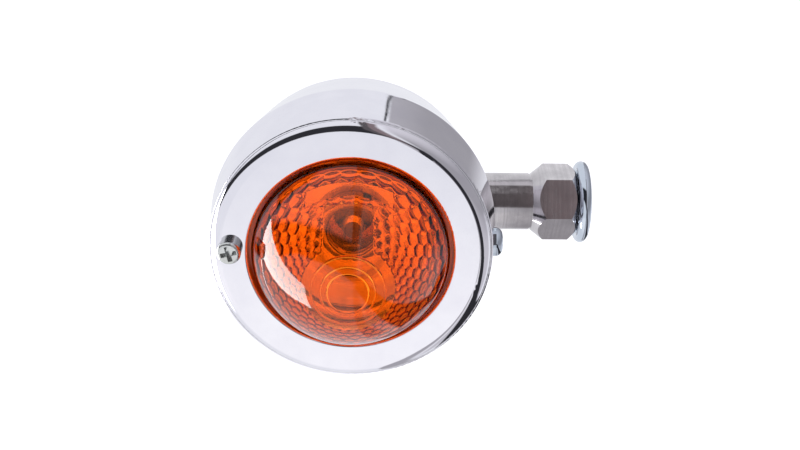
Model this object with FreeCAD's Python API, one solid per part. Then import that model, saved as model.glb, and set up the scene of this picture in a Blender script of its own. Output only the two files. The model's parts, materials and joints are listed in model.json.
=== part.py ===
"""Motorcycle turn signal: a round polished housing on a turned stem, with an amber dome lens.

Frame: millimetres, +Z up.  The X axis is the stem's axis and points at the motorcycle.  The
origin is the centre of the mounting washer's outer face.  The lamp shines along -Y.
"""
import FreeCAD, Part
import math
import os

Vector = FreeCAD.Vector
X = Vector(1, 0, 0)
Y = Vector(0, 1, 0)
Z = Vector(0, 0, 1)

# ---- driving dimensions (mm) -------------------------------------------------------------
LAMP_REACH = 59.5          # optical axis to the washer's outer face
STEM_DEPTH = 33.0          # front face of the bezel to the stem's axis

FIT = 0.05                 # radial running clearance, and the gap left between stacked pieces
PLAY = 0.2                 # loose clearance round screws

# Housing, as radius and depth behind the front face
LIP_RADIUS = 33.1          # front lip
LIP_DEPTH = 2.2
RIDGE_RADIUS = 34.75       # widest circle, a soft crease
RIDGE_DEPTH = 17.25
RIDGE_SOFTNESS = 4.0       # radius that rounds the crease
BACK_RADIUS = 30.8         # where the side meets the domed back
BACK_DEPTH = 39.4
BACK_SOFTNESS = 1.6
HOUSING_DEPTH = 52.0       # crown of the domed back
WALL = 2.5
CAVITY_RADIUS = 30.4
LEDGE_DEPTH = 6.0          # ledge that carries the reflector's flange

# Bezel ring
BEZEL_RADIUS = 32.5
OPENING_RADIUS = 24.0
FLAT_RADIUS = 29.9         # the front stays flat out to here, then rolls back
ROLL_RADIUS = 2.9
ROLL_TURN = math.asin((BEZEL_RADIUS - FLAT_RADIUS) / ROLL_RADIUS)
ROLL_DEPTH = ROLL_RADIUS * (1 - math.cos(ROLL_TURN))
PLATE = 2.0                # thickness round the opening
SKIRT_INNER = 26.0         # pocket radius for the lens flange
SKIRT_DEPTH = 5.15

# Lens
DOME_RADIUS = 23.0         # at its foot, in the plane of the bezel's face
DOME_HEIGHT = 20.7
CROWN_RADIUS = 17.0        # the dome is rounder at its crown than on its shoulder
DOME_LEAN = 20.0           # degrees by which the wall leans inward at the foot
LENS_WALL = 2.0
LENS_FLANGE_RADIUS = 25.8
LENS_FLANGE = 2.0          # flange thickness
GASKET = 1.1

# Bezel screw, M2.5 pan head
BEZEL_SCREW_RADIUS = 27.9  # distance from the optical axis
BEZEL_SCREW_ANGLE = 177.0  # degrees, counted from +X towards +Z
BEZEL_SCREW_HEAD = 2.8     # head radius
BEZEL_SCREW_SHANK = 1.25
BEZEL_SCREW_LENGTH = 14.0
BEZEL_HEAD_HEIGHT = 2.7
BEZEL_HEAD_ROUNDING = 0.8
BEZEL_RECESS_TURN = -13.0  # degrees
RECESS_SHARE = 1.35        # span of a driver recess over its head's radius
SCREW_BOSS_RADIUS = 3.1
BOSS_DEPTH = 18.0          # end of the threaded boss

# Side screw, M4 pan head, parallel to the stem
SIDE_SCREW_DEPTH = 12.0    # behind the front face
SIDE_SCREW_Z = -1.7
SIDE_SCREW_SEAT = 33.6     # distance of the head's seat from the optical axis
SIDE_SCREW_HEAD = 3.5
SIDE_HEAD_HEIGHT = 2.6
SIDE_HEAD_ROUNDING = 1.7
SIDE_RECESS_TURN = 30.0
SIDE_SCREW_SHANK = 1.95
SIDE_SCREW_LENGTH = 10.0
SIDE_NUT = 3.0             # nut thickness
SIDE_NUT_FLATS = 7.0

# Stem, turned from 17 mm hexagon bar; places are distances from the optical axis
STEM_RADIUS = 7.3
HEX_FLATS = 17.0
HEX_TURN = 26.5            # degrees by which a flat's normal is raised above -Y
STEM_SEAT = 29.0           # shoulder that meets the housing
GROOVE_WIDTH = 0.6         # relief groove where the round stem ends
GROOVE_DEPTH = 0.2
CONE_START = 45.1
HEX_CHAMFER = 1.5          # length of each end chamfer over the flats
HEX_END = 56.45
SPIGOT_RADIUS = 6.3
SPIGOT_END = LAMP_REACH - 1.25
THREAD_RADIUS = 4.38       # M10 x 1.25 tapped hole, at its minor diameter
THREAD_LENGTH = 12.0
BORE_RADIUS = 3.5          # wire passage
TAIL_RADIUS = 5.9          # M12 x 1 thread inside the housing
TAIL_END = 17.5
BOSS_FACE = 24.0           # inner face of the housing's stem boss
STEM_BOSS_RADIUS = 9.4
LOCK_WASHER = 1.0
STEM_NUT = 4.0

# Mounting washer
WASHER_RADIUS = 10.45
WASHER_RIM = 1.5           # radius of the rolled rim's section
WASHER_SHEET = 1.2
WASHER_HOLE = 5.5

# Reflector
REFLECTOR_SHEET = 0.8
REFLECTOR_MOUTH = 23.4
REFLECTOR_NECK = 10.4
REFLECTOR_NECK_DEPTH = 18.4

# Bulb, 19 mm ball glass on a 15 mm bayonet base
GLASS_RADIUS = 9.5
GLASS_CENTRE = 7.5
GLASS_WALL = 0.6
BASE_RADIUS = 7.5
BASE_FRONT = 16.5
BASE_BACK = 27.0
CONTACT_END = 28.0
PIN_DEPTH = 21.0
PIN_RADIUS = 1.0
PIN_REACH = 8.35
PUSH = 2.0                 # travel of the bulb against its spring
PIN_TURN = 25.0            # degrees between a slot's entry and its pocket

# Bulb holder
SOCKET_OUTER = 8.4
SOCKET_FRONT = 16.0
SOCKET_BACK = 36.0
SLOT_WIDTH = 2.2
BRACKET_DEPTH = 19.0
BRACKET_SHEET = 1.2
BRACKET_RING = 12.5
BRACKET_ARM = 11.0         # width
BRACKET_TAB = 27.6         # inner face of the tab, from the optical axis
INSULATOR_DEPTH = 33.5
INSULATOR = 2.0
PLUNGER_RADIUS = 3.0
PLUNGER_HEAD = 1.2
PLUNGER_TAIL = 1.2
SPRING_WIRE = 0.3
SPRING_RADIUS = 2.3
SPRING_TURNS = 3

MANY = 200.0               # longer than the whole part, for cutting tools


# ---- helpers -----------------------------------------------------------------------------
def at(reach, depth, z=0.0):
    """Point given by its distance from the optical axis, its depth and its height."""
    return Vector(reach - LAMP_REACH, depth - STEM_DEPTH, z)


def arc(middle, end):
    """Arc step of an outline: through middle to end."""
    return ("arc", middle, end)


def soft_corner(before, corner, after, radius):
    """Steps that round an outline's corner: its tangent point, then the arc to the other one."""
    into = Vector(before[0] - corner[0], before[1] - corner[1], 0).normalize()
    away = Vector(after[0] - corner[0], after[1] - corner[1], 0).normalize()
    half = into.getAngle(away) / 2
    reach = radius / math.tan(half)
    inward = (into + away).normalize()
    depth = radius / math.sin(half) - radius
    start, middle, end = [(corner[0] + step.x, corner[1] + step.y)
                          for step in (into * reach, inward * depth, away * reach)]
    return start, arc(middle, end)


def face_of(start, steps, place):
    """Flat face whose outline runs from start through the steps and back; place makes points."""
    edges = []
    here = start
    for step in steps + (start,):
        if step[0] == "arc":
            middle, end = step[1:]
            edges.append(Part.Arc(place(*here), place(*middle), place(*end)).toShape())
        else:
            end = step
            if end != here:
                edges.append(Part.LineSegment(place(*here), place(*end)).toShape())
        here = end
    return Part.Face(Part.Wire(edges))


def turned(start, *steps):
    """Solid of revolution about the optical axis; points are (radius, depth)."""
    return face_of(start, steps, at).revolve(at(0, 0), Y, 360)


def turned_on_stem(start, *steps):
    """Solid of revolution about the stem's axis; points are (distance along, radius)."""
    return face_of(start, steps, lambda along, radius: at(along, STEM_DEPTH, radius)).revolve(
        at(0, STEM_DEPTH), X, 360)


def tube(outer, inner, front, back):
    """Plain ring about the optical axis."""
    return turned((inner, front), (outer, front), (outer, back), (inner, back))


def rod(radius, start, direction, length):
    return Part.makeCylinder(radius, length, start, direction)


def block(low, high):
    """Box between two corners, each (distance from the optical axis, depth, height)."""
    size = [b - a for a, b in zip(low, high)]
    return Part.makeBox(size[0], size[1], size[2], at(*low))


def hexagon(flats, start, direction, length, turn=0.0):
    """Hexagonal bar; turn is in degrees about the direction."""
    radius = flats / math.sqrt(3)
    points = [Vector(radius * math.cos(math.radians(60 * i)),
                     radius * math.sin(math.radians(60 * i)), 0) for i in range(7)]
    bar = Part.Face(Part.makePolygon(points)).extrude(Vector(0, 0, length))
    bar.rotate(Vector(), Z, turn)
    bar.Placement = FreeCAD.Placement(start, FreeCAD.Rotation(Z, direction)).multiply(bar.Placement)
    return bar


def cross_recess(tip, direction, width, depth, turn):
    """Cross-shaped driver recess, sunk from tip along direction and turned about it (degrees)."""
    slot = width * 0.29
    bars = []
    for size in ((width, slot), (slot, width)):
        bar = Part.makeBox(size[0], size[1], depth, Vector(-size[0] / 2, -size[1] / 2, 0))
        bars.append(bar)
    cross = bars[0].fuse(bars[1]).removeSplitter()
    facing = FreeCAD.Rotation(direction, turn).multiply(FreeCAD.Rotation(Z, direction))
    cross.Placement = FreeCAD.Placement(tip, facing)
    return cross


def pan_screw(seat, direction, head, shank, recess_turn):
    """Pan-head screw: its head stands off the seat against direction, its shank runs along it.

    head is (radius, height, rounding of its edge); shank is (radius, length).
    """
    head_radius, head_height, rounding = head
    shank_radius, length = shank
    tip = seat - direction * head_height
    head = rod(head_radius, tip, direction, head_height)
    top_edge = [e for e in head.Edges if e.Closed and (e.CenterOfMass - tip).Length < 1e-6]
    head = head.makeFillet(rounding, top_edge)
    recess = cross_recess(tip, direction, head_radius * RECESS_SHARE, head_height * 0.6, recess_turn)
    head = head.cut(recess)
    shank = rod(shank_radius, seat, direction, length)
    point = [e for e in shank.Edges if e.Closed
             and (e.CenterOfMass - seat - direction * length).Length < 1e-6]
    shank = shank.makeChamfer(shank_radius * 0.3, point)
    return head.fuse(shank).removeSplitter()


def on_circle(radius, degrees, depth):
    """Point at a radius and angle round the optical axis."""
    angle = math.radians(degrees)
    return at(radius * math.cos(angle), depth, radius * math.sin(angle))


def save(name, shape):
    solids = shape.Solids
    result = solids[0] if len(solids) == 1 else Part.makeCompound(solids)
    if not result.isValid():
        raise ValueError(name + " is not a valid shape")
    result.exportStep("parts/" + name + ".step")


# ---- housing and bezel -------------------------------------------------------------------
def dome_depth(radius, crown, sphere):
    """Depth of the domed back at a radius, for a sphere whose crown is at the given depth."""
    return crown - sphere + math.sqrt(sphere ** 2 - radius ** 2)


def back_sphere():
    rise = HOUSING_DEPTH - BACK_DEPTH
    return (BACK_RADIUS ** 2 + rise ** 2) / (2 * rise)


def housing_shell():
    sphere = back_sphere()
    halfway = BACK_RADIUS / 2
    lip = (LIP_RADIUS, LIP_DEPTH)
    ridge = (RIDGE_RADIUS, RIDGE_DEPTH)
    back = (BACK_RADIUS, BACK_DEPTH)
    dome_start = (BACK_RADIUS - 1, dome_depth(BACK_RADIUS - 1, HOUSING_DEPTH, sphere))
    bend_start, bend = soft_corner(ridge, back, dome_start, BACK_SOFTNESS)
    seam = bend[2][0]
    outside = turned(
        (0, LIP_DEPTH),
        lip,
        *soft_corner(lip, ridge, back, RIDGE_SOFTNESS),
        bend_start,
        arc(bend[1], (seam, dome_depth(seam, HOUSING_DEPTH, sphere))),
        arc((halfway, dome_depth(halfway, HOUSING_DEPTH, sphere)), (0, HOUSING_DEPTH)))
    rim = tube(LIP_RADIUS, BEZEL_RADIUS + FIT, ROLL_DEPTH, LIP_DEPTH)
    front_edge = [e for e in rim.Edges if e.Closed and abs(e.Curve.Radius - LIP_RADIUS) < 1e-6
                  and abs(e.CenterOfMass.y + STEM_DEPTH - ROLL_DEPTH) < 1e-6]
    rim = rim.makeFillet(0.45, front_edge)
    inner_crown = HOUSING_DEPTH - WALL
    inner_radius = BACK_RADIUS - WALL
    inner_back = dome_depth(inner_radius, inner_crown, sphere - WALL)
    inner_half = inner_radius / 2
    cavity = turned(
        (0, LEDGE_DEPTH),
        (CAVITY_RADIUS, LEDGE_DEPTH),
        (CAVITY_RADIUS, RIDGE_DEPTH),
        (inner_radius, inner_back),
        arc((inner_half, dome_depth(inner_half, inner_crown, sphere - WALL)), (0, inner_crown)))
    rebate = rod(BEZEL_RADIUS + FIT, at(0, 0), Y, LEDGE_DEPTH)
    shell = outside.cut(cavity).cut(rebate).fuse(rim)

    screw_at = on_circle(BEZEL_SCREW_RADIUS, BEZEL_SCREW_ANGLE, LEDGE_DEPTH)
    screw_boss = rod(SCREW_BOSS_RADIUS, screw_at, Y, BOSS_DEPTH - LEDGE_DEPTH)
    stem_boss = rod(STEM_BOSS_RADIUS, at(BOSS_FACE, STEM_DEPTH), X, STEM_SEAT - BOSS_FACE + 1)
    side_pad = rod(4.5, at(BRACKET_TAB + BRACKET_SHEET + FIT, SIDE_SCREW_DEPTH, SIDE_SCREW_Z), X, 3)
    bosses = screw_boss.fuse(stem_boss).fuse(side_pad).common(outside)
    shell = shell.fuse(bosses)

    shell = shell.cut(rod(BEZEL_SCREW_SHANK + FIT, screw_at, Y, BOSS_DEPTH - LEDGE_DEPTH - 1.5))
    shell = shell.cut(rod(STEM_RADIUS + FIT, at(STEM_SEAT, STEM_DEPTH), X, MANY))
    shell = shell.cut(rod(TAIL_RADIUS + FIT, at(0, STEM_DEPTH), X, STEM_SEAT))
    side_axis = at(0, SIDE_SCREW_DEPTH, SIDE_SCREW_Z)
    shell = shell.cut(rod(SIDE_SCREW_SHANK + PLAY, side_axis, X, SIDE_SCREW_SEAT))
    spot = rod(SIDE_SCREW_HEAD + PLAY, side_axis + X * SIDE_SCREW_SEAT, X, SIDE_HEAD_HEIGHT)
    return shell.cut(spot).removeSplitter()


def bezel_ring():
    middle = (FLAT_RADIUS + ROLL_RADIUS * math.sin(ROLL_TURN / 2),
              ROLL_RADIUS * (1 - math.cos(ROLL_TURN / 2)))
    ring = turned(
        (OPENING_RADIUS, 0.5),
        arc((OPENING_RADIUS + 0.15, 0.15), (OPENING_RADIUS + 0.5, 0)),
        (FLAT_RADIUS, 0),
        arc(middle, (BEZEL_RADIUS, ROLL_DEPTH)),
        (BEZEL_RADIUS, SKIRT_DEPTH),
        (SKIRT_INNER, SKIRT_DEPTH),
        (SKIRT_INNER, PLATE),
        (OPENING_RADIUS, PLATE))
    hole_at = on_circle(BEZEL_SCREW_RADIUS, BEZEL_SCREW_ANGLE, 0)
    return ring.cut(rod(BEZEL_SCREW_SHANK + PLAY, hole_at, Y, MANY)).removeSplitter()


def bezel_screw():
    seat = on_circle(BEZEL_SCREW_RADIUS, BEZEL_SCREW_ANGLE, 0)
    return pan_screw(seat, Y, (BEZEL_SCREW_HEAD, BEZEL_HEAD_HEIGHT, BEZEL_HEAD_ROUNDING),
                     (BEZEL_SCREW_SHANK, BEZEL_SCREW_LENGTH), BEZEL_RECESS_TURN)


# ---- lens and gasket ---------------------------------------------------------------------
def dome_arcs(wall):
    """The dome's outline, wall mm inside its outer face: foot, two arc steps, crown.

    A crown arc centred on the axis runs smoothly into a flatter shoulder arc.
    """
    lean = math.radians(90 - DOME_LEAN)
    crown_centre = DOME_HEIGHT - CROWN_RADIUS
    reach = DOME_RADIUS * math.sin(lean) - crown_centre * math.cos(lean)
    span = DOME_RADIUS ** 2 + crown_centre ** 2
    shoulder_radius = (span - CROWN_RADIUS ** 2) / (2 * (reach - CROWN_RADIUS))
    shoulder_centre = (DOME_RADIUS - shoulder_radius * math.sin(lean), -shoulder_radius * math.cos(lean))
    join = math.atan2(-shoulder_centre[0], crown_centre - shoulder_centre[1])

    def on_shoulder(turn):
        radius = shoulder_radius - wall
        return (shoulder_centre[0] + radius * math.sin(turn),
                -shoulder_centre[1] - radius * math.cos(turn))

    def on_crown(turn):
        radius = CROWN_RADIUS - wall
        return (radius * math.sin(turn), -crown_centre - radius * math.cos(turn))

    return (on_crown(0), arc(on_crown(join / 2), on_crown(join)),
            arc(on_shoulder((join + lean) / 2), on_shoulder(lean)))


def lens():
    flange_front = PLATE + FIT
    flange_back = flange_front + LENS_FLANGE
    crown, crown_step, shoulder_step = dome_arcs(0)
    inner_crown, inner_crown_step, inner_shoulder_step = dome_arcs(LENS_WALL)
    inner_foot = inner_shoulder_step[2]
    outside = turned(
        crown,
        crown_step,
        shoulder_step,
        (DOME_RADIUS, flange_front),
        (LENS_FLANGE_RADIUS, flange_front),
        (LENS_FLANGE_RADIUS, flange_back),
        (0, flange_back))
    hollow = turned(
        inner_crown,
        inner_crown_step,
        inner_shoulder_step,
        (inner_foot[0], flange_back + 1),
        (0, flange_back + 1))
    return outside.cut(hollow)


def lens_gasket():
    front = PLATE + FIT + LENS_FLANGE
    return tube(LENS_FLANGE_RADIUS, DOME_RADIUS - LENS_WALL + PLAY, front, front + GASKET)


# ---- reflector ---------------------------------------------------------------------------
def reflector():
    front = LEDGE_DEPTH - REFLECTOR_SHEET
    outer = BEZEL_RADIUS - 0.6
    middle = ((REFLECTOR_MOUTH + REFLECTOR_NECK) / 2 + 1.9,
              (LEDGE_DEPTH + REFLECTOR_NECK_DEPTH) / 2 + 1.2)
    sheet = REFLECTOR_SHEET
    bowl = turned(
        (REFLECTOR_MOUTH, front),
        (outer, front),
        (outer, LEDGE_DEPTH),
        (REFLECTOR_MOUTH + sheet, LEDGE_DEPTH),
        arc((middle[0] + sheet * 0.6, middle[1] + sheet * 0.7),
            (REFLECTOR_NECK, REFLECTOR_NECK_DEPTH)),
        (REFLECTOR_NECK, REFLECTOR_NECK_DEPTH - sheet),
        arc(middle, (REFLECTOR_MOUTH, front)))
    hole_at = on_circle(BEZEL_SCREW_RADIUS, BEZEL_SCREW_ANGLE, 0)
    return bowl.cut(rod(BEZEL_SCREW_SHANK + PLAY, hole_at, Y, LEDGE_DEPTH + 1))


# ---- bulb --------------------------------------------------------------------------------
def bulb_glass():
    neck = BASE_RADIUS - 0.4
    joint = BASE_FRONT + 2.0
    neck_depth = GLASS_CENTRE + math.sqrt(GLASS_RADIUS ** 2 - neck ** 2)
    inner = GLASS_RADIUS - GLASS_WALL
    inner_neck = neck - GLASS_WALL
    inner_depth = GLASS_CENTRE + math.sqrt(inner ** 2 - inner_neck ** 2)
    return turned(
        (0, GLASS_CENTRE - GLASS_RADIUS),
        arc((GLASS_RADIUS, GLASS_CENTRE), (neck, neck_depth)),
        (neck, joint),
        (inner_neck, joint),
        (inner_neck, inner_depth),
        arc((inner, GLASS_CENTRE), (0, GLASS_CENTRE - inner)))


def bulb_base():
    sheet = 0.35
    shell = turned(
        (BASE_RADIUS, BASE_FRONT),
        (BASE_RADIUS, BASE_BACK),
        (BASE_RADIUS - 1.5, BASE_BACK),
        (BASE_RADIUS - 1.5, BASE_BACK - sheet),
        (BASE_RADIUS - sheet, BASE_BACK - sheet),
        (BASE_RADIUS - sheet, BASE_FRONT))
    for side in (1, -1):
        start = at(0, PIN_DEPTH, side * (BASE_RADIUS - sheet))
        shell = shell.fuse(rod(PIN_RADIUS, start, Z * side, PIN_REACH - BASE_RADIUS + sheet))
    return shell.removeSplitter()


def bulb_insulator():
    return turned(
        (0, BASE_BACK - 2.0),
        (BASE_RADIUS - 2.0, BASE_BACK - 2.0),
        (BASE_RADIUS - 1.6, BASE_BACK),
        (2.5, CONTACT_END - 0.4),
        (0, CONTACT_END - 0.4))


def bulb_contact():
    return turned(
        (0, CONTACT_END - 0.4),
        (2.0, CONTACT_END - 0.4),
        (1.6, CONTACT_END),
        (0, CONTACT_END))


FILAMENT_SPREAD = 2.6
FILAMENT_DEPTH = 6.0
WIRE = 0.3


def filament_mount():
    """Glass bridge with the two support wires."""
    bridge = turned((0, 14.0), (2.2, 14.5), (3.4, 18.5), (0, 18.5))
    wires = [rod(WIRE, at(side * FILAMENT_SPREAD * 0.75, FILAMENT_DEPTH), Y, 9.5)
             for side in (1, -1)]
    return bridge.fuse(wires).removeSplitter()


def filament():
    """Coiled tungsten wire between the supports, as a plain thin bar of the coil's size."""
    half = FILAMENT_SPREAD * 0.75
    return rod(WIRE, at(-half, FILAMENT_DEPTH - WIRE * 1.2), X, 2 * half)


# ---- bulb holder -------------------------------------------------------------------------
def bayonet_slots():
    """Two J-shaped slots: a straight entry, a short turn and the pocket the pin rests in."""
    cutter = []
    wall = SOCKET_OUTER + 1
    half = SLOT_WIDTH / 2
    track = PIN_DEPTH + PUSH
    for side in (0, 180):
        pocket = block((-half, PIN_DEPTH - PIN_RADIUS - FIT, 0), (half, track + half, wall))
        entry = block((-half, SOCKET_FRONT - 1, 0), (half, track + half, wall))
        entry.rotate(at(0, 0), Y, PIN_TURN)
        turn = block((0, track - half, 0), (wall, track + half, wall))
        wedge = block((0, track - half, 0), (wall, track + half, wall))
        wedge.rotate(at(0, 0), Y, PIN_TURN - 90)
        for piece in (pocket, entry, turn.common(wedge)):
            piece.rotate(at(0, 0), Y, side)
            cutter.append(piece)
    return cutter


def socket_shell():
    inner = BASE_RADIUS + FIT
    shell = turned(
        (inner, SOCKET_FRONT),
        (SOCKET_OUTER, SOCKET_FRONT),
        (SOCKET_OUTER, SOCKET_BACK),
        (inner - 1.0, SOCKET_BACK),
        (inner - 1.0, SOCKET_BACK - 0.5 + FIT),
        (inner, SOCKET_BACK - 0.5 + FIT))
    return shell.cut(bayonet_slots()).removeSplitter()


def socket_bracket():
    """Plate round the holder, with an arm to the housing wall and a tab for the side screw."""
    back = BRACKET_DEPTH + BRACKET_SHEET
    half = BRACKET_ARM / 2
    tab_outer = BRACKET_TAB + BRACKET_SHEET
    low = SIDE_SCREW_Z - half
    high = SIDE_SCREW_Z + half
    plate = rod(BRACKET_RING, at(0, BRACKET_DEPTH), Y, BRACKET_SHEET)
    arm = block((0, BRACKET_DEPTH, low), (tab_outer, back, high))
    tab = block((BRACKET_TAB, SIDE_SCREW_DEPTH - 4.5, low), (tab_outer, back, high))
    bracket = plate.fuse(arm).fuse(tab)
    bracket = bracket.cut(rod(SOCKET_OUTER + FIT, at(0, 0), Y, MANY))
    hole = rod(SIDE_SCREW_SHANK + PLAY, at(0, SIDE_SCREW_DEPTH, SIDE_SCREW_Z), X, MANY)
    rivet_hole = rod(1.25 + FIT, at(-(BRACKET_RING + SOCKET_OUTER) / 2, 0), Y, MANY)
    return bracket.cut(hole).cut(rivet_hole).removeSplitter()


def bracket_nut():
    start = at(BRACKET_TAB - SIDE_NUT, SIDE_SCREW_DEPTH, SIDE_SCREW_Z)
    nut = hexagon(SIDE_NUT_FLATS, start, X, SIDE_NUT - FIT)
    return nut.cut(rod(SIDE_SCREW_SHANK + FIT, start, X, SIDE_NUT))


RIVET_REACH = -(BRACKET_RING + SOCKET_OUTER) / 2
TERMINAL_SHEET = 0.8
TERMINAL_WIDTH = 3.6
TERMINAL_LENGTH = 8.0


def earth_terminal():
    """Bent blade that takes the earth wire, riveted to the back of the bracket."""
    front = BRACKET_DEPTH + BRACKET_SHEET
    half = TERMINAL_WIDTH / 2
    foot = block((RIVET_REACH - 4.0, front, -half), (RIVET_REACH + half, front + TERMINAL_SHEET, half))
    blade = block((RIVET_REACH - 4.0, front, -half),
                  (RIVET_REACH - 4.0 + TERMINAL_SHEET, front + TERMINAL_LENGTH, half))
    eye = rod(1.25 + FIT, at(RIVET_REACH, front - 1), Y, 3)
    return foot.fuse(blade).cut(eye).removeSplitter()


def terminal_rivet():
    front = BRACKET_DEPTH
    back = front + BRACKET_SHEET + TERMINAL_SHEET
    shank = rod(1.25, at(RIVET_REACH, front - FIT), Y, back - front + 2 * FIT)
    heads = [rod(1.75, at(RIVET_REACH, front - FIT - 0.5), Y, 0.5),
             rod(1.75, at(RIVET_REACH, back + FIT), Y, 0.5)]
    return shank.fuse(heads).removeSplitter()


def socket_insulator():
    back = INSULATOR_DEPTH + INSULATOR
    disc = rod(BASE_RADIUS, at(0, INSULATOR_DEPTH), Y, back - INSULATOR_DEPTH)
    return disc.cut(rod(PLUNGER_TAIL + FIT, at(0, 0), Y, MANY))


def contact_plunger():
    front = CONTACT_END + FIT
    head = rod(PLUNGER_RADIUS, at(0, front), Y, PLUNGER_HEAD)
    tail = rod(PLUNGER_TAIL, at(0, front), Y, SOCKET_BACK + 2.0 - front)
    return head.fuse(tail).removeSplitter()


def live_terminal():
    """Eye on the plunger's tail with a blade that takes the live wire."""
    front = SOCKET_BACK + 2.0
    half = TERMINAL_WIDTH / 2
    eye = rod(half, at(0, front), Y, TERMINAL_SHEET)
    blade = block((-half, front, 0), (half, front + TERMINAL_SHEET, 6.5))
    return eye.fuse(blade).removeSplitter()


def contact_spring():
    front = CONTACT_END + 2 * FIT + PLUNGER_HEAD + SPRING_WIRE
    length = INSULATOR_DEPTH - FIT - SPRING_WIRE - front
    helix = Part.makeHelix(length / SPRING_TURNS, length, SPRING_RADIUS)
    section = Part.Wire([Part.makeCircle(SPRING_WIRE, Vector(SPRING_RADIUS, 0, 0), Y)])
    coil = Part.Wire(helix.Edges).makePipeShell([section], True, True)
    coil.Placement = FreeCAD.Placement(at(0, front), FreeCAD.Rotation(Z, Y))
    return coil


# ---- side screw and stem -----------------------------------------------------------------
def side_screw():
    seat = at(SIDE_SCREW_SEAT, SIDE_SCREW_DEPTH, SIDE_SCREW_Z)
    return pan_screw(seat, X * -1, (SIDE_SCREW_HEAD, SIDE_HEAD_HEIGHT, SIDE_HEAD_ROUNDING),
                     (SIDE_SCREW_SHANK, SIDE_SCREW_LENGTH), SIDE_RECESS_TURN)


def stem_arm():
    """Hexagon bar turned down to the round stem, with a spigot and a bored, tapped end."""
    flat = HEX_FLATS / 2
    corner = HEX_FLATS / math.sqrt(3)
    slope = (flat - STEM_RADIUS) / HEX_CHAMFER
    cone = (corner - STEM_RADIUS) / slope
    blank = turned_on_stem(
        (TAIL_END, 0),
        (TAIL_END, TAIL_RADIUS - 0.5),
        (TAIL_END + 0.5, TAIL_RADIUS),
        (STEM_SEAT, TAIL_RADIUS),
        (STEM_SEAT, STEM_RADIUS),
        (CONE_START - GROOVE_WIDTH, STEM_RADIUS),
        (CONE_START - GROOVE_WIDTH, STEM_RADIUS - GROOVE_DEPTH),
        (CONE_START, STEM_RADIUS - GROOVE_DEPTH),
        (CONE_START, STEM_RADIUS),
        (CONE_START + cone, corner),
        (HEX_END - (corner - flat + 0.5), corner),
        (HEX_END, flat - 0.5),
        (HEX_END, SPIGOT_RADIUS),
        (SPIGOT_END, SPIGOT_RADIUS),
        (SPIGOT_END, 0))
    hexagon_part = hexagon(HEX_FLATS, at(CONE_START, STEM_DEPTH), X, MANY, -HEX_TURN)
    round_part = rod(STEM_RADIUS + FIT, at(0, STEM_DEPTH), X, CONE_START + 1)
    arm = blank.common(hexagon_part.fuse(round_part))
    arm = arm.cut(rod(BORE_RADIUS, at(0, STEM_DEPTH), X, MANY))
    thread_start = at(SPIGOT_END - THREAD_LENGTH, STEM_DEPTH)
    return arm.cut(rod(THREAD_RADIUS, thread_start, X, THREAD_LENGTH + 1)).removeSplitter()


def stem_lock_washer():
    """Toothed lock washer between the housing's boss and the stem's nut."""
    start = at(BOSS_FACE - LOCK_WASHER, STEM_DEPTH)
    outer = 8.2
    disc = rod(outer, start, X, LOCK_WASHER - FIT)
    teeth = 12
    for i in range(teeth):
        notch = Part.makeBox(4, 1.4, 1.2, Vector(-2, -0.7, outer - 1.0))
        notch.rotate(Vector(), X, 360.0 / teeth * i)
        notch.translate(start)
        disc = disc.cut(notch)
    return disc.cut(rod(TAIL_RADIUS + PLAY, start, X, LOCK_WASHER))


def stem_nut():
    start = at(BOSS_FACE - LOCK_WASHER - STEM_NUT, STEM_DEPTH)
    nut = hexagon(HEX_FLATS, start, X, STEM_NUT - FIT)
    return nut.cut(rod(TAIL_RADIUS + FIT, start, X, STEM_NUT))


def wire_grommet():
    """Rubber bush that guards the wires at the stem's inner end."""
    return turned_on_stem(
        (TAIL_END - 1.2, 2.0),
        (TAIL_END - 1.2, 5.0),
        (TAIL_END - FIT, 5.0),
        (TAIL_END - FIT, BORE_RADIUS - FIT),
        (TAIL_END + 4.0, BORE_RADIUS - FIT),
        (TAIL_END + 4.0, 2.0))


def mounting_washer():
    """Cup washer with a rolled rim; the cup opens towards the stem's hexagon."""
    rim_radius = WASHER_RADIUS - WASHER_RIM
    face = LAMP_REACH
    inside = face - WASHER_SHEET
    return turned_on_stem(
        (face, WASHER_HOLE),
        (face, rim_radius),
        arc((face - WASHER_RIM, WASHER_RADIUS), (face - 2 * WASHER_RIM, rim_radius)),
        arc((face - 1.75 * WASHER_RIM, rim_radius - 0.9), (inside, rim_radius - 1.4)),
        (inside, WASHER_HOLE))


PIECES = (housing_shell, bezel_ring, bezel_screw, lens, lens_gasket, reflector, bulb_glass,
          bulb_base, bulb_insulator, bulb_contact, filament_mount, filament, socket_shell,
          socket_bracket, bracket_nut, earth_terminal, terminal_rivet, socket_insulator,
          contact_plunger, live_terminal, contact_spring, side_screw, stem_arm,
          stem_lock_washer, stem_nut, wire_grommet, mounting_washer)

os.makedirs("parts", exist_ok=True)
for piece in PIECES:
    save(piece.__name__, piece())
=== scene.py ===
import bpy
import bmesh
import json
import math
import numpy as np
from mathutils import Matrix, Vector

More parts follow.
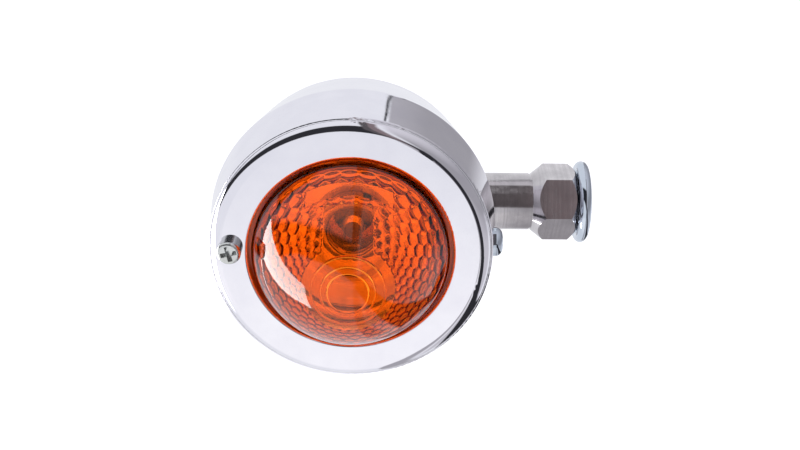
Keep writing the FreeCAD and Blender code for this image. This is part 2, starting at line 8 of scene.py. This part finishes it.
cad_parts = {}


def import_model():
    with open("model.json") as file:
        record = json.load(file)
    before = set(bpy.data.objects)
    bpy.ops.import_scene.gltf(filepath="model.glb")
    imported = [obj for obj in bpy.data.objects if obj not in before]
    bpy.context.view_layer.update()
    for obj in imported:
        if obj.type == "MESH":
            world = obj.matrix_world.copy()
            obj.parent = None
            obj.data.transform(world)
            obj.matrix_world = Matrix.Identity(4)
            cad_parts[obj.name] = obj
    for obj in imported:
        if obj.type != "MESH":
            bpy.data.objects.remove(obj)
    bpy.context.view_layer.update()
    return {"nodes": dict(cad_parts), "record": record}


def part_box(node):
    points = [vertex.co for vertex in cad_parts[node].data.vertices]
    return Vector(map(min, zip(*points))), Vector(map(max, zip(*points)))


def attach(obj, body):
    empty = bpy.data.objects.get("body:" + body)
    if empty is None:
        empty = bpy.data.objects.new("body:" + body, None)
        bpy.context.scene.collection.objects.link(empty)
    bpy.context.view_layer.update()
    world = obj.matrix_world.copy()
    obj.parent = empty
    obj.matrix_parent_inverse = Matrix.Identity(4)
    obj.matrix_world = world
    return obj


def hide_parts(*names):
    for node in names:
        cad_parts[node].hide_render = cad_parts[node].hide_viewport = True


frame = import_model()
nodes = frame["nodes"]
MM = 0.001

# ---- places, from the frame ---------------------------------------------------------------
lens_low, lens_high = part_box("lens")
gasket_low, gasket_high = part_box("lens_gasket")
AXIS_X = (lens_low.x + lens_high.x) / 2          # the optical axis is parallel to Y
FLANGE_BACK_Y = gasket_low.y - 0.03 * MM         # lens flange, a hair in front of its gasket

# ---- lens (m) ------------------------------------------------------------------------------
DOME_RADIUS = 23.0 * MM
DOME_HEIGHT = 20.7 * MM
CROWN_RADIUS = 17.0 * MM                         # the dome is rounder at its crown than on its shoulder
DOME_LEAN = math.radians(20)                     # of the wall at the dome's foot
LENS_WALL = 2.0 * MM
FLANGE_THICKNESS = 2.0 * MM
FLANGE_EDGE = 0.2 * MM
FRONT_Y = lens_low.y + DOME_HEIGHT               # plane of the bezel's front face
CELLS_ROUND = 34                                 # optical cells in each ring of them
CELL_RISE = 0.42 * MM
CELL_REACH = 0.577                               # centre of a cell to its corner, in pitches
CELL_FADE = 0.3 * MM                             # from no cells to full ones
FOOT_BAND = 0.35 * MM                            # no cells next to the dome's foot
SMOOTH_RADIUS = 9.8 * MM                         # clear zone round the crown
# clear panels above the crown: inner and outer radius, half width
SMOOTH_PANELS = ((0.0, 16.4 * MM, 5.4 * MM), (17.3 * MM, 19.3 * MM, 9.4 * MM))
RING_RADII = (7.8 * MM, 5.8 * MM, 4.4 * MM)      # steps moulded into the clear zone
RING_STEP = 0.24 * MM
RING_WIDTH = 0.22 * MM
SEGMENTS_PER_CELL = 12
OUTER_STEPS = 48
INNER_STEPS = 200
AMBER_DENSITY = 420.0                            # per metre of plastic

# ---- camera --------------------------------------------------------------------------------
CAMERA_AZIMUTH = math.radians(-0.56)
CAMERA_ELEVATION = math.radians(24.45)
CAMERA_ROLL = math.radians(0.70)
CAMERA_DISTANCE = 263.6 * MM
CAMERA_ASIDE = (-11.40 * MM, -7.17 * MM)         # where the face's centre lies in its view
SENSOR_WIDTH = 36
CAMERA_LENS = 51.3
CLOSEST_VIEW = 0.01

# ---- studio --------------------------------------------------------------------------------
FLOOR_Z = -0.25
FLOOR_HALF = 6.0
FLOOR_GLOW = 0.6
ROOM_WHITE = (0.87, 0.88, 0.92)
SCREEN_WHITE = (1.05, 1.05, 1.07)
ROOM_DARK = (0.03, 0.03, 0.035)
ROOM_DUSK = (0.11, 0.10, 0.105)
ROOM_HAZE = (0.24, 0.19, 0.20)
TABLE_GREY = (0.42, 0.41, 0.44)
WALL_GREY = 0.37
WALL_TINT = (1.0, 0.98, 1.05)
SOFT_BOX = 9.0
THROUGH = 0.60                                   # share of the fill light behind the lens
THROUGH_WHITE = (1.5, 1.4, 1.3)

# Where the room's parts end, over the direction (x right, y back, z up). An edge is its place
# and its softness.
BEHIND = (0.0, 0.1)
SCREEN_BACK = (-0.3, 0.3)
SCREEN_TOP = (-0.42, 0.09)
TABLE_LEFT = (0.095, 0.01)
TABLE_RIGHT = (0.25, 0.04)
TABLE_BACK = (0.5, 0.1)
TABLE_TOP = (0.1, 0.1)
WALL_SLANT = 0.25                                # the back wall starts where x is this much of y
WALL_EDGE = (0.0, 0.01)
WALL_FOOT = (-0.2, 0.15)
SIDE_WALL_BACK = (0.1, 0.1)
SIDE_WALL_EDGE = (0.3, 0.06)
LINE_HALF = (0.010, 0.005)
LINE_FOOT = (0.2, 0.05)
LINE_WANDER = 0.14
STRIP_TOWARD = (0.41, 0.66, 0.629)               # square to the dark strip over the camera
STRIP_MIDDLE = 0.26
STRIP_LOWER = (0.0, 0.03)
STRIP_UPPER = (0.0, 0.05)
STRIP_RIGHT = (0.22, 0.04)
STRIP_BACK = (0.5, 0.05)
STRIP_FOOT = (-0.35, 0.05)
DUSK_LEFT = (0.08, 0.01)
HAZE_LEFT = (0.132, 0.004)
OVERHEAD_LEFT = (0.065, 0.01)
OVERHEAD_RIGHT = (0.22, 0.03)
OVERHEAD_BACK = (0.0, 0.06)
OVERHEAD_FOOT = (0.4, 0.1)
STAND_TOWARD = (0.815, 0.149, 0.561)             # square to the dark stand on the right
STAND_MIDDLE = 0.02
STAND_HALF = (0.165, 0.02)
STAND_LEFT = (0.16, 0.01)
STAND_BACK = (0.6, 0.05)
STAND_TOP = (0.1, 0.1)
# the soft box lies under its first edge, over its second and under its third
BOX_EDGES = (((-0.186, -0.535, 0.823), 0.05), ((-0.502, -0.618, 0.603), -0.04),
             ((0.390, -0.912, -0.127), 0.0))
BOX_SOFT = 0.01
BOX_BACK = 0.475


# ---- helpers for materials -----------------------------------------------------------------
class Shader:
    """A node tree that is built by short calls; every call returns an output socket."""

    def __init__(self, tree):
        self.tree = tree
        self.tree.nodes.clear()

    def node(self, kind, **settings):
        made = self.tree.nodes.new(kind)
        for name, value in settings.items():
            setattr(made, name, value)
        return made

    def join(self, value, socket):
        if isinstance(value, bpy.types.NodeSocket):
            self.tree.links.new(value, socket)
        else:
            socket.default_value = value

    def place(self, scale=(1, 1, 1)):
        """The object's own coordinates in millimetres, stretched by scale."""
        coordinates = self.node("ShaderNodeTexCoord")
        mapping = self.node("ShaderNodeMapping")
        mapping.inputs["Scale"].default_value = [s / MM for s in scale]
        self.join(coordinates.outputs["Object"], mapping.inputs["Vector"])
        return mapping.outputs["Vector"]

    def noise(self, where, scale, detail=3.0, rough=0.5):
        made = self.node("ShaderNodeTexNoise")
        self.join(where, made.inputs["Vector"])
        made.inputs["Scale"].default_value = scale
        made.inputs["Detail"].default_value = detail
        made.inputs["Roughness"].default_value = rough
        return made.outputs["Fac"]

    def span(self, value, low, high, to_low, to_high):
        """Moves value from the range low..high to the range to_low..to_high, clamped."""
        made = self.node("ShaderNodeMapRange")
        self.join(value, made.inputs["Value"])
        for name, number in zip(("From Min", "From Max", "To Min", "To Max"),
                                (low, high, to_low, to_high)):
            made.inputs[name].default_value = number
        return made.outputs["Result"]

    def math(self, operation, a, b=0.0):
        made = self.node("ShaderNodeMath", operation=operation)
        self.join(a, made.inputs[0])
        self.join(b, made.inputs[1])
        return made.outputs[0]

    def mix(self, factor, a, b):
        made = self.node("ShaderNodeMix", data_type="RGBA")
        self.join(factor, made.inputs[0])
        self.join(a, made.inputs[6])
        self.join(b, made.inputs[7])
        return made.outputs[2]

    def bump(self, height, distance, strength=1.0):
        made = self.node("ShaderNodeBump")
        made.inputs["Distance"].default_value = distance
        made.inputs["Strength"].default_value = strength
        self.join(height, made.inputs["Height"])
        return made.outputs["Normal"]

    def surface(self, **values):
        made = self.node("ShaderNodeBsdfPrincipled")
        for name, value in values.items():
            self.join(value, made.inputs[name.replace("_", " ")])
        self.output = self.node("ShaderNodeOutputMaterial")
        self.join(made.outputs["BSDF"], self.output.inputs["Surface"])


def material(name):
    made = bpy.data.materials.new(name)
    made.use_nodes = True
    return made, Shader(made.node_tree)


def rgb(red, green, blue):
    return (red, green, blue, 1.0)


# ---- materials -----------------------------------------------------------------------------
def metal(name, light, dark, rough, grain=0.0, lines=None, blotch=0.12):
    """Bare metal: its colour and gloss wander a little; lines is the stretch of its tool marks."""
    made, s = material(name)
    where = s.place()
    cloud = s.noise(where, blotch)
    fine = s.noise(where, 1.1, 3.0)
    colour = s.mix(s.span(cloud, 0.35, 0.7, 0.0, 1.0), light, dark)
    rough_low, rough_high = rough
    gloss = s.span(fine, 0.3, 0.7, rough_low, rough_high)
    values = dict(Base_Color=colour, Metallic=1.0, Roughness=gloss)
    if lines:
        marks = s.noise(s.place(lines), 1.0, 2.0, 0.6)
        values["Normal"] = s.bump(marks, grain * MM)
        values["Base_Color"] = s.mix(s.span(marks, 0.35, 0.65, 0.0, 0.45), colour, dark)
    elif grain:
        values["Normal"] = s.bump(fine, grain * MM)
    s.surface(**values)
    return made


def amber():
    made, s = material("amber_plastic")
    where = s.place()
    cloud = s.noise(where, 0.15)
    dust = s.noise(where, 6.0, 4.0)
    colour = s.mix(s.span(cloud, 0.3, 0.7, 0.0, 1.0), rgb(0.97, 0.42, 0.07), rgb(0.98, 0.46, 0.09))
    s.surface(Base_Color=colour, Roughness=s.span(dust, 0.35, 0.75, 0.0, 0.03), IOR=1.49,
              Specular_IOR_Level=0.13, Transmission_Weight=1.0,
              Normal=s.bump(s.noise(where, 0.4), 0.002 * MM))
    # the longer the way through the plastic, the redder
    depth = s.node("ShaderNodeVolumeAbsorption")
    depth.inputs["Color"].default_value = rgb(0.98, 0.66, 0.12)
    depth.inputs["Density"].default_value = AMBER_DENSITY
    s.join(depth.outputs["Volume"], s.output.inputs["Volume"])
    return made


def clear_glass():
    made, s = material("bulb_glass")
    where = s.place()
    s.surface(Base_Color=rgb(0.96, 0.98, 0.98), Transmission_Weight=1.0, IOR=1.5,
              Roughness=s.span(s.noise(where, 1.5), 0.4, 0.8, 0.0, 0.04),
              Normal=s.bump(s.noise(where, 0.25), 0.02 * MM))
    return made


def plain(name, light, dark, rough, grain, scale):
    """Rubber, glass bead or board: two close colours, a grain and an uneven gloss."""
    made, s = material(name)
    where = s.place()
    speck = s.noise(where, scale, 5.0)
    colour = s.mix(s.span(speck, 0.35, 0.65, 0.0, 1.0), light, dark)
    s.surface(Base_Color=colour, Roughness=s.span(speck, 0.3, 0.7, rough - 0.08, rough + 0.08),
              Normal=s.bump(speck, grain * MM))
    return made


MATERIALS = {
    "polished_aluminium": metal("polished_aluminium", rgb(0.87, 0.86, 0.91), rgb(0.82, 0.81, 0.87),
                                (0.035, 0.07), 0.0006),
    "turned_aluminium": metal("turned_aluminium", rgb(0.74, 0.71, 0.72), rgb(0.50, 0.48, 0.49),
                              (0.10, 0.15), 0.003, (1.6, 0.03, 0.03)),
    "chromed_steel": metal("chromed_steel", rgb(0.62, 0.68, 0.76), rgb(0.54, 0.60, 0.68),
                           (0.03, 0.06), 0.0005),
    "zinc_steel": metal("zinc_steel", rgb(0.74, 0.76, 0.76), rgb(0.60, 0.61, 0.58),
                        (0.16, 0.30), 0.004),
    "plated_steel": metal("plated_steel", rgb(0.70, 0.69, 0.64), rgb(0.58, 0.58, 0.56),
                          (0.22, 0.38), 0.006, (0.3, 3.0, 0.3)),
    "reflector_metal": metal("reflector_metal", rgb(0.91, 0.90, 0.89), rgb(0.86, 0.86, 0.86),
                             (0.05, 0.12), 0.003),
    "brass": metal("brass", rgb(0.80, 0.62, 0.30), rgb(0.66, 0.47, 0.20), (0.20, 0.36), 0.004),
    "solder": metal("solder", rgb(0.62, 0.62, 0.64), rgb(0.50, 0.50, 0.52), (0.3, 0.45), 0.02),
    "tungsten": metal("tungsten", rgb(0.36, 0.36, 0.38), rgb(0.26, 0.26, 0.28), (0.35, 0.5), 0.004),
    "amber_plastic": amber(),
    "bulb_glass": clear_glass(),
    "black_glass": plain("black_glass", rgb(0.02, 0.02, 0.025), rgb(0.04, 0.035, 0.05), 0.15, 0.01, 0.8),
    "pale_silicone": plain("pale_silicone", rgb(0.84, 0.82, 0.77), rgb(0.76, 0.74, 0.68), 0.5, 0.02, 3.0),
    "rubber": plain("rubber", rgb(0.03, 0.03, 0.03), rgb(0.055, 0.052, 0.05), 0.62, 0.02, 4.0),
    "fibre_board": plain("fibre_board", rgb(0.42, 0.20, 0.10), rgb(0.30, 0.13, 0.07), 0.6, 0.03, 1.5),
}
SLOTS = {row["node"]: row["material_slot"] for row in frame["record"]["subparts"]}
SMOOTH_ANGLE = math.radians(25)

for name, node in nodes.items():
    node.data.materials.clear()
    node.data.materials.append(MATERIALS[SLOTS[name]])


# ---- helpers for meshes --------------------------------------------------------------------
def add_piece(name, vertices, faces, node, body):
    """New mesh object in the finish of a CAD node, which it replaces and whose body it rides."""
    mesh = bpy.data.meshes.new(name)
    mesh.from_pydata(vertices, [], faces)
    mesh.validate()
    bm = bmesh.new()
    bm.from_mesh(mesh)
    bmesh.ops.recalc_face_normals(bm, faces=bm.faces)
    bm.to_mesh(mesh)
    bm.free()
    mesh.shade_smooth()
    mesh.set_sharp_from_angle(angle=SMOOTH_ANGLE)
    piece = bpy.data.objects.new(name, mesh)
    bpy.context.scene.collection.objects.link(piece)
    mesh.materials.append(MATERIALS[SLOTS[node]])
    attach(piece, body)
    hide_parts(node)
    return piece


def lathe(profile, segments, centre_x, closed=True):
    """Vertices and faces of a profile of (radius, y) turned about the optical axis."""
    vertices = []
    rows = []
    for radius, y in profile:
        if radius < 1e-9:
            rows.append([len(vertices)] * segments)
            vertices.append((centre_x, y, 0.0))
            continue
        row = []
        for i in range(segments):
            angle = 2 * math.pi * i / segments
            row.append(len(vertices))
            vertices.append((centre_x + radius * math.cos(angle), y, radius * math.sin(angle)))
        rows.append(row)
    faces = []
    pairs = list(zip(rows, rows[1:]))
    if closed and rows[0][0] != rows[0][1]:
        pairs.append((rows[-1], rows[0]))
    for a, b in pairs:
        for i in range(segments):
            j = (i + 1) % segments
            face = []
            for corner in (a[i], a[j], b[j], b[i]):
                if corner not in face:
                    face.append(corner)
            if len(face) > 2:
                faces.append(face)
    return vertices, faces


# ---- lens ----------------------------------------------------------------------------------
def dome_outline(wall, steps):
    """Outline of the dome, wall m inside its outer face, from the foot to near the crown.

    Each row is (radius, height over the bezel's face, turn of the surface from the axis).
    """
    foot = math.pi / 2 - DOME_LEAN
    centre = DOME_HEIGHT - CROWN_RADIUS
    reach = DOME_RADIUS * math.sin(foot) - centre * math.cos(foot)
    span = DOME_RADIUS ** 2 + centre ** 2
    shoulder = (span - CROWN_RADIUS ** 2) / (2 * (reach - CROWN_RADIUS))
    aside = DOME_RADIUS - shoulder * math.sin(foot)
    below = -shoulder * math.cos(foot)
    join = math.atan2(-aside, centre - below)
    rows = []
    for turn in np.linspace(foot, 0, steps, endpoint=False).tolist():
        if turn < join:
            ball = CROWN_RADIUS - wall
            rows.append((ball * math.sin(turn), centre + ball * math.cos(turn), turn))
        else:
            ball = shoulder - wall
            rows.append((aside + ball * math.sin(turn), below + ball * math.cos(turn), turn))
    return rows


def stretch_lengths(rows):
    """Distance along the outline divided by its radius, counted from the crown."""
    radius = np.array([row[0] for row in rows])
    height = np.array([row[1] for row in rows])
    step = np.hypot(np.diff(radius), np.diff(height)) / ((radius[1:] + radius[:-1]) / 2)
    from_foot = np.concatenate(([0.0], np.cumsum(step)))
    return from_foot[-1] - from_foot


def cell_rise(along, across):
    """Height of the optical cells, 0..1: a honeycomb in a plane of (turn, stretched length)."""
    pitch = 2 * math.pi / CELLS_ROUND
    across = across / pitch
    along = along / (pitch * math.sqrt(3) / 2)
    best = np.full(across.shape, 9.0)
    for offset in (-1, 0, 1):
        row = np.round(along) + offset
        shift = 0.5 * np.mod(row, 2)
        column = np.round(across - shift) + shift
        gap = np.hypot(across - column, (along - row) * math.sqrt(3) / 2)
        best = np.minimum(best, gap)
    return 1.0 - np.minimum(best / CELL_REACH, 1.0) ** 2


def inner_rise(radius, along, around, foot_radius):
    """How far the lens's inner face stands in at one radius: cells, clear panels and steps."""
    rise = np.zeros(around.shape)
    if radius > SMOOTH_RADIUS:
        fade = min(1.0, (radius - SMOOTH_RADIUS) / CELL_FADE,
                   max(0.0, foot_radius - FOOT_BAND - radius) / CELL_FADE)
        rise = CELL_RISE * fade * cell_rise(np.full(around.shape, along), around)
        aside = np.where(np.sin(around) > 0, np.abs(radius * np.cos(around)), 1.0)
        for inside, outside, half_width in SMOOTH_PANELS:
            if inside < radius < outside:
                rise = rise * np.clip((aside - half_width) / CELL_FADE, 0.0, 1.0)
    for ring in RING_RADII:
        rise = rise + RING_STEP * max(0.0, 1 - abs(radius - ring) / RING_WIDTH)
    return rise


def lens_piece():
    segments = CELLS_ROUND * SEGMENTS_PER_CELL
    profile = [(0.0, FRONT_Y - DOME_HEIGHT)]
    outer = dome_outline(0, OUTER_STEPS)
    profile += [(radius, FRONT_Y - height) for radius, height, turn in reversed(outer)]
    flange_front = FLANGE_BACK_Y - FLANGE_THICKNESS
    flange_radius = (lens_high.x - lens_low.x) / 2
    inner = dome_outline(LENS_WALL, INNER_STEPS)
    foot_radius = inner[0][0]
    profile += [(DOME_RADIUS, flange_front), (flange_radius - FLANGE_EDGE, flange_front),
                (flange_radius, flange_front + FLANGE_EDGE), (flange_radius, FLANGE_BACK_Y),
                (foot_radius, FLANGE_BACK_Y)]
    vertices, faces = lathe(profile, segments, AXIS_X, closed=False)
    last_row = len(vertices) - segments

    rows = []
    around = np.arange(segments) * 2 * math.pi / segments
    lengths = stretch_lengths(inner)
    for (radius, height, lean), along in zip(inner, lengths.tolist()):
        rise = inner_rise(radius, along, around, foot_radius)
        out = radius - rise * math.sin(lean)
        x = AXIS_X + out * np.cos(around)
        z = out * np.sin(around)
        y = FRONT_Y - height + rise * math.cos(lean)
        rows.append(len(vertices))
        vertices += list(zip(x.tolist(), y.tolist(), z.tolist()))
    starts = [last_row] + rows
    for a, b in zip(starts, starts[1:]):
        for i in range(segments):
            j = (i + 1) % segments
            faces.append([a + i, a + j, b + j, b + i])
    pole = len(vertices)
    vertices.append((AXIS_X, FRONT_Y - DOME_HEIGHT + LENS_WALL, 0.0))
    for i in range(segments):
        faces.append([rows[-1] + i, rows[-1] + (i + 1) % segments, pole])
    return add_piece("prismatic_lens", vertices, faces, "lens", "cover")


lens_piece()

# ---- smooth shading of the carried-over CAD nodes --------------------------------------------
for node in nodes.values():
    node.data.shade_smooth()
    node.data.set_sharp_from_angle(angle=SMOOTH_ANGLE)


# ---- floor, room and camera ------------------------------------------------------------------
def floor():
    mesh = bpy.data.meshes.new("floor")
    corners = [(x * FLOOR_HALF, y * FLOOR_HALF, FLOOR_Z) for x, y in ((-1, -1), (1, -1), (1, 1), (-1, 1))]
    mesh.from_pydata(corners, [], [(0, 1, 2, 3)])
    made, s = material("floor_paper")
    speck = s.noise(s.place(), 0.02)
    colour = s.mix(speck, rgb(0.94, 0.94, 0.95), rgb(0.96, 0.96, 0.97))
    s.surface(Base_Color=colour, Roughness=0.9, Emission_Color=rgb(1.0, 1.0, 1.0),
              Emission_Strength=FLOOR_GLOW)
    mesh.materials.append(made)
    plane = bpy.data.objects.new("floor", mesh)
    bpy.context.scene.collection.objects.link(plane)
    plane.visible_glossy = False                  # metal reflects the room's own lower half


class Room(Shader):
    """World shader built from parts of the sky; every mask is 0..1 over the direction."""

    def __init__(self, tree):
        super().__init__(tree)
        self.way = self.node("ShaderNodeTexCoord").outputs["Generated"]
        split = self.node("ShaderNodeSeparateXYZ")
        self.join(self.way, split.inputs[0])
        self.x, self.y, self.z = split.outputs

    def toward(self, direction):
        """How far the view direction lies along a direction."""
        made = self.node("ShaderNodeVectorMath", operation="DOT_PRODUCT")
        self.join(self.way, made.inputs[0])
        made.inputs[1].default_value = Vector(direction).normalized()
        return made.outputs["Value"]

    def over(self, value, edge, soft):
        """1 where value is over edge."""
        made = self.node("ShaderNodeMapRange", interpolation_type="SMOOTHSTEP")
        self.join(value, made.inputs["Value"])
        made.inputs["From Min"].default_value = edge - soft
        made.inputs["From Max"].default_value = edge + soft
        return made.outputs["Result"]

    def under(self, value, edge, soft):
        return self.math("SUBTRACT", 1.0, self.over(value, edge, soft))

    def both(self, *masks):
        result = masks[0]
        for mask in masks[1:]:
            result = self.math("MULTIPLY", result, mask)
        return result


def screens(s, colour):
    """Brighter screen low in front, and a greyer table in front of the stem."""
    screen = s.both(s.under(s.y, *SCREEN_BACK), s.under(s.z, *SCREEN_TOP))
    colour = s.mix(screen, colour, rgb(*SCREEN_WHITE))
    table = s.both(s.over(s.x, *TABLE_LEFT), s.under(s.x, *TABLE_RIGHT),
                   s.under(s.y, *TABLE_BACK), s.under(s.z, *TABLE_TOP))
    return s.mix(table, colour, rgb(*TABLE_GREY))


def walls(s, colour):
    """Grey walls on the right, darkest near the horizon, and the dark edge of the back one."""
    grey = s.math("ADD", WALL_GREY, s.span(s.z, 0.3, 1.0, 0.0, 0.38))
    grey = s.math("ADD", grey, s.span(s.z, -0.35, -0.05, 0.24, 0.0))
    wall = s.node("ShaderNodeCombineColor")
    for socket, tint in zip(wall.inputs, WALL_TINT):
        s.join(s.math("MULTIPLY", grey, tint), socket)
    edge = s.math("SUBTRACT", s.x, s.math("MULTIPLY", s.y, WALL_SLANT))
    back = s.both(s.over(s.y, *BEHIND), s.over(edge, *WALL_EDGE), s.over(s.z, *WALL_FOOT))
    colour = s.mix(back, colour, wall.outputs[0])
    side = s.both(s.under(s.y, *SIDE_WALL_BACK), s.over(s.x, *SIDE_WALL_EDGE))
    colour = s.mix(side, colour, wall.outputs[0])
    wander = s.math("MULTIPLY", s.math("SUBTRACT", s.noise(s.way, 9.0, 1.0), 0.5), LINE_WANDER)
    off_edge = s.math("ABSOLUTE", s.math("ADD", edge, wander))
    line = s.both(s.over(s.y, *BEHIND), s.under(off_edge, *LINE_HALF), s.over(s.z, *LINE_FOOT))
    return s.mix(line, colour, rgb(*ROOM_DARK))


def dark_room(s, colour):
    """Dark strip over the camera, narrower towards the left; over the stem it reaches overhead."""
    middle = s.math("ADD", s.toward(STRIP_TOWARD), STRIP_MIDDLE)
    half = s.span(s.x, -0.95, 0.0, 0.19, 0.39)
    strip = s.both(s.over(s.math("ADD", middle, half), *STRIP_LOWER),
                   s.over(s.math("SUBTRACT", half, middle), *STRIP_UPPER),
                   s.under(s.x, *STRIP_RIGHT), s.under(s.y, *STRIP_BACK), s.over(s.z, *STRIP_FOOT))
    dusk = s.mix(s.over(s.x, *HAZE_LEFT), rgb(*ROOM_DUSK), rgb(*ROOM_HAZE))
    colour = s.mix(strip, colour, s.mix(s.over(s.x, *DUSK_LEFT), rgb(*ROOM_DARK), dusk))
    overhead = s.both(s.over(s.x, *OVERHEAD_LEFT), s.under(s.x, *OVERHEAD_RIGHT),
                      s.under(s.y, *OVERHEAD_BACK), s.over(s.z, *OVERHEAD_FOOT))
    return s.mix(overhead, colour, dusk)


def stand(s, colour):
    """Dark stand on the right of the front screen."""
    off_middle = s.math("ABSOLUTE", s.math("SUBTRACT", s.toward(STAND_TOWARD), STAND_MIDDLE))
    mask = s.both(s.under(off_middle, *STAND_HALF), s.under(s.y, *STAND_BACK),
                  s.under(s.z, *STAND_TOP), s.over(s.x, *STAND_LEFT))
    return s.mix(mask, colour, rgb(*ROOM_DARK))


def soft_box(s, colour):
    """Bright soft box low on the left."""
    (upper, upper_edge), (lower, lower_edge), (inner, inner_edge) = BOX_EDGES
    mask = s.both(s.under(s.toward(upper), upper_edge, BOX_SOFT),
                  s.over(s.toward(lower), lower_edge, BOX_SOFT),
                  s.under(s.toward(inner), inner_edge, BOX_SOFT),
                  s.under(s.y, BOX_BACK, BOX_SOFT), s.under(s.x, 0.0, BOX_SOFT))
    return s.mix(mask, colour, rgb(SOFT_BOX, SOFT_BOX, SOFT_BOX))


def world():
    """Pale studio: what the metal and the lens reflect from each side."""
    room = bpy.data.worlds.new("room")
    bpy.context.scene.world = room
    room.use_nodes = True
    s = Room(room.node_tree)
    colour = rgb(*ROOM_WHITE)
    for part in (screens, walls, dark_room, stand, soft_box):
        colour = part(s, colour)

    # what comes through the lens is gathered from more of the room
    path = s.node("ShaderNodeLightPath")
    passed = s.math("GREATER_THAN", path.outputs["Transmission Depth"], 0.5)
    colour = s.mix(s.math("MULTIPLY", passed, THROUGH), colour, rgb(*THROUGH_WHITE))

    # the camera itself sees plain white behind the lamp
    background = s.node("ShaderNodeBackground")
    s.join(colour, background.inputs["Color"])
    plain_back = s.node("ShaderNodeBackground")
    plain_back.inputs["Color"].default_value = rgb(1.0, 1.0, 1.0)
    pick = s.node("ShaderNodeMixShader")
    s.join(path.outputs["Is Camera Ray"], pick.inputs[0])
    s.join(background.outputs[0], pick.inputs[1])
    s.join(plain_back.outputs[0], pick.inputs[2])
    output = s.node("ShaderNodeOutputWorld")
    s.join(pick.outputs[0], output.inputs["Surface"])


def camera():
    """Camera at the measured place and angle, aimed past the lamp's face."""
    right = Vector((math.cos(CAMERA_AZIMUTH), math.sin(CAMERA_AZIMUTH), 0))
    back = Vector((math.sin(CAMERA_AZIMUTH) * math.cos(CAMERA_ELEVATION),
                   -math.cos(CAMERA_AZIMUTH) * math.cos(CAMERA_ELEVATION),
                   math.sin(CAMERA_ELEVATION)))
    up = back.cross(right)
    right, up = (math.cos(CAMERA_ROLL) * right + math.sin(CAMERA_ROLL) * up,
                 -math.sin(CAMERA_ROLL) * right + math.cos(CAMERA_ROLL) * up)
    face = Vector((AXIS_X, FRONT_Y, 0))
    aside, above = CAMERA_ASIDE
    place = face - right * aside - up * above + back * CAMERA_DISTANCE
    data = bpy.data.cameras.new("camera")
    data.lens = CAMERA_LENS
    data.sensor_width = SENSOR_WIDTH
    data.clip_start = CLOSEST_VIEW
    made = bpy.data.objects.new("camera", data)
    bpy.context.scene.collection.objects.link(made)
    turn = Matrix((right, up, back)).transposed().to_4x4()
    made.matrix_world = Matrix.Translation(place) @ turn
    bpy.context.scene.camera = made


floor()
world()
camera()
bpy.context.scene.view_settings.view_transform = "Standard"
